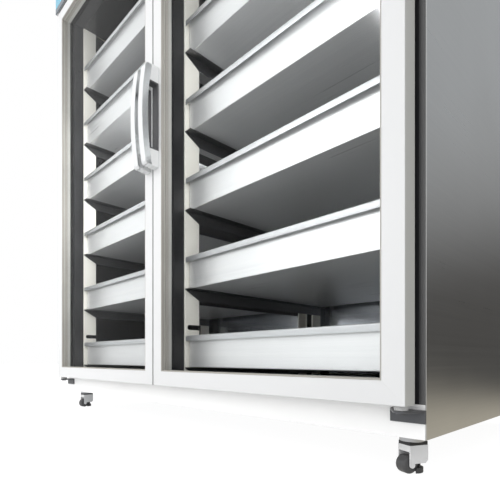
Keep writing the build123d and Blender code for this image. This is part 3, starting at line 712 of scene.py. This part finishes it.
def headerFront():
    low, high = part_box("header_panel")
    edge = low.z + header["strip"]
    bm = bmesh.new()
    roundBlock(bm, (low.x, low.y, edge + header["gap"]), high, header["edge"])
    finishPiece("headerPanel", bm, "cabinet", ["header_panel"], headerBlue)
    bm = bmesh.new()
    roundBlock(bm, low, (high.x, high.y, edge), header["edge"])
    finishPiece("headerStrip", bm, "cabinet", ["header_panel"], headerNavy)


fromNode("header_casing", "headerCasing", backSteel, 0.6 * mm)
headerFront()
fromNode("control_panel", "controlPanel", screenBlack, 0.8 * mm)
fromNode("cable_gland", "cableGland", blackPlastic, 0.6 * mm)
fromNode("fan_motor", "fanMotor", motorGrey, 0.8 * mm)
fromNode("fan_impeller", "fanImpeller", plateSteel, 0.3 * mm)
fromNode("heating_unit", "heatingUnit", plateSteel, 0)
fromNode("insulation", "foamBoards", foamBoard, 0)
print("header and machine bay made")


# Casters

caster = {"cap": 5.7 * mm}


def casters():
    fromNode("caster_plates", "casterPlates", plateSteel, 0.6 * mm)
    for corner in corners:
        name = corner.title().replace("_", "")
        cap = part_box(corner + "_fork")[1].z - caster["cap"]

        def blackCap(bm):
            splitAt(bm, 2, [cap])
            paintFaces(bm, 1, lambda place, normal: place.z > cap)
        fromNode(corner + "_fork", "fork" + name, [casterZinc, blackPlastic], 0.5 * mm,
                 prepare=blackCap)
        fromNode(corner + "_wheel", "wheel" + name, wheelDark, 0)
        fromNode(corner + "_foot", "foot" + name, footRubber, 0.5 * mm)


casters()
print("casters made")


# Stage, light and camera

# the floor's reflection entries set a painted reflection: the glow that glossy rays see on the floor
studio = {"behind": [(0.0, 0.08, -0.05), (0.1, 0.085, -0.05), (0.17, 0.1, -0.04), (0.32, 0.37, 0.01),
                     (0.42, 0.48, 0.02), (0.5, 0.52, 0.03), (1.0, 0.55, 0.03)],
          "front": 1.12, "darkWay": (0.30, 0.954), "paintedReflectionFar": 0.06, "paintedReflectionNear": (0.62, 0.57, 0.47),
          "paintedReflectionWay": (0.72, 0.69, 0), "paintedReflectionWarmth": 0.6, "paintedReflectionReach": (1.0, 2.3), "floorGlow": 1.16,
          "floorWhite": 0.8}


def floorMaterial():  # white to the eye; in reflections it glows a painted reflection, warm near the cabinet and dark further off
    material, tree, shader, place = newMaterial("paleFloor", Roughness=0.7)
    shader.inputs["Specular IOR Level"].default_value = 0.0
    drift = addNoise(tree, place, 1.5)
    pale = mixColour(tree, drift, (0.90, 0.90, 0.90), (0.94, 0.94, 0.935))
    tree.links.new(pale, shader.inputs["Base Color"])
    away = addNode(tree, "ShaderNodeVectorMath", operation="DOT_PRODUCT")
    away.inputs[1].default_value = studio["paintedReflectionWay"]
    tree.links.new(place, away.inputs[0])
    warm = addRange(tree, away.outputs["Value"], 0.0, studio["paintedReflectionWarmth"], 0.0, 1.0)
    far = addRange(tree, away.outputs["Value"], *studio["paintedReflectionReach"], 0.0, 1.0)
    # painted reflection: a glow seen only by glossy rays, warm near the cabinet and dark further off
    paintedReflectionGlow = addNode(tree, "ShaderNodeEmission")
    near = mixColour(tree, warm, (0.9, 0.9, 0.9), studio["paintedReflectionNear"])
    tree.links.new(mixColour(tree, far, near, (studio["paintedReflectionFar"],) * 3), paintedReflectionGlow.inputs["Color"])
    white = addNode(tree, "ShaderNodeEmission")
    white.inputs["Color"].default_value = (1, 1, 1, 1)
    white.inputs["Strength"].default_value = studio["floorGlow"]
    path = addNode(tree, "ShaderNodeLightPath")
    seen, mirrored = addNode(tree, "ShaderNodeMixShader"), addNode(tree, "ShaderNodeMixShader")
    soft = addNode(tree, "ShaderNodeMixShader")
    soft.inputs[0].default_value = studio["floorWhite"]
    tree.links.new(shader.outputs[0], soft.inputs[1])
    tree.links.new(white.outputs[0], soft.inputs[2])
    tree.links.new(path.outputs["Is Glossy Ray"], mirrored.inputs[0])
    tree.links.new(shader.outputs[0], mirrored.inputs[1])
    tree.links.new(paintedReflectionGlow.outputs[0], mirrored.inputs[2])
    tree.links.new(path.outputs["Is Camera Ray"], seen.inputs[0])
    tree.links.new(mirrored.outputs[0], seen.inputs[1])
    tree.links.new(soft.outputs[0], seen.inputs[2])
    tree.links.new(seen.outputs[0], tree.nodes["Material Output"].inputs["Surface"])
    return material


def makeFloor():
    bm = bmesh.new()
    bmesh.ops.create_grid(bm, x_segments=1, y_segments=1, size=14)
    mesh = bpy.data.meshes.new("paleFloor")
    bm.to_mesh(mesh)
    bm.free()
    mesh.materials.append(floorMaterial())
    floor = bpy.data.objects.new("paleFloor", mesh)
    bpy.context.scene.collection.objects.link(floor)


def makeWorld():  # white backdrop, bright in front, dim low down behind the cabinet's right side
    world = bpy.data.worlds.new("studio")
    bpy.context.scene.world = world
    world.use_nodes = True
    tree = world.node_tree
    ground = tree.nodes["Background"]
    parts = addNode(tree, "ShaderNodeSeparateXYZ")
    tree.links.new(addNode(tree, "ShaderNodeTexCoord").outputs["Generated"], parts.inputs[0])
    across = addMath(tree, "ADD", addMath(tree, "MULTIPLY", parts.outputs["X"], studio["darkWay"][0]),
                     addMath(tree, "MULTIPLY", parts.outputs["Y"], studio["darkWay"][1]))
    turned = addRange(tree, across, 0.05, 0.6, 0.0, 1.0)
    height = addNode(tree, "ShaderNodeValToRGB")
    ramp = height.color_ramp
    while len(ramp.elements) < len(studio["behind"]):
        ramp.elements.new(0.5)
    for element, (place, level, tint) in zip(ramp.elements, studio["behind"]):
        element.position, element.color = place, (level * (1 - tint), level, level * (1 + tint), 1)
    tree.links.new(parts.outputs["Z"], height.inputs[0])
    lit = mixColour(tree, turned, (studio["front"],) * 3, height.outputs[0])
    tree.links.new(lit, ground.inputs["Color"])
    white = addNode(tree, "ShaderNodeBackground")
    white.inputs["Color"].default_value = (1, 1, 1, 1)
    path = addNode(tree, "ShaderNodeLightPath")
    mix = addNode(tree, "ShaderNodeMixShader")
    tree.links.new(path.outputs["Is Camera Ray"], mix.inputs[0])
    tree.links.new(ground.outputs[0], mix.inputs[1])
    tree.links.new(white.outputs[0], mix.inputs[2])
    tree.links.new(mix.outputs[0], tree.nodes["World Output"].inputs["Surface"])


lamps = {  # place, target, size and power
    "keyLight": ((-1.2, -4.0, 2.2), (0, 0, 0.9), (3.0, 2.4), 46),
    "lowLight": ((0, -1.3, 0.02), (0, -0.2, 0.9), (1.6, 0.6), 2.5)}
fillLight = {  # a level strip in each bay, its length front to back
    "inset": 60 * mm, "ahead": 32 * mm, "height": 0.83, "size": (1.3, 20 * mm),
    "power": {"left": 7, "right": 3.2}}
view = {"offset": (0.2702, -0.5887, 0.0717), "lens": 29.43, "sensor": 36,
        "shift": (0.008, 0.217), "turn": 45.9}


def areaLight(name, place, target, size, power):
    data = bpy.data.lights.new(name, "AREA")
    data.shape, data.size, data.size_y, data.energy = "RECTANGLE", size[0], size[1], power
    lamp = bpy.data.objects.new(name, data)
    bpy.context.scene.collection.objects.link(lamp)
    lamp.location = place
    lamp.rotation_euler = (Vector(target) - Vector(place)).to_track_quat("-Z", "Y").to_euler()
    lamp.visible_glossy = lamp.visible_camera = False


def makeCamera():
    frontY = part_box("left_door_frame")[0].y
    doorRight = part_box("right_door_frame")[1].x
    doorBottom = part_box("left_door_frame")[0].z
    data = bpy.data.cameras.new("camera")
    data.lens, data.sensor_width = view["lens"], view["sensor"]
    data.shift_x, data.shift_y = view["shift"]
    camera = bpy.data.objects.new("camera", data)
    bpy.context.scene.collection.objects.link(camera)
    camera.location = Vector((doorRight, frontY, doorBottom)) + Vector(view["offset"])
    camera.rotation_euler = (math.radians(90), 0, math.radians(view["turn"]))
    data.clip_start = 0.02
    bpy.context.scene.camera = camera


makeFloor()
makeWorld()
for name, (place, target, size, power) in lamps.items():
    areaLight(name, place, target, size, power)
for side in sides:
    low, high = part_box(side + "_drawer_1")
    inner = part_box(side + "_glazing_seal")[1].x - fillLight["inset"]
    place = (inner, low.y - fillLight["ahead"], fillLight["height"])
    target = (low.x, low.y, fillLight["height"])
    areaLight(side + "FillLight", place, target, fillLight["size"], fillLight["power"][side])
makeCamera()
bpy.context.scene.view_settings.view_transform = "Standard"
print("stage made")
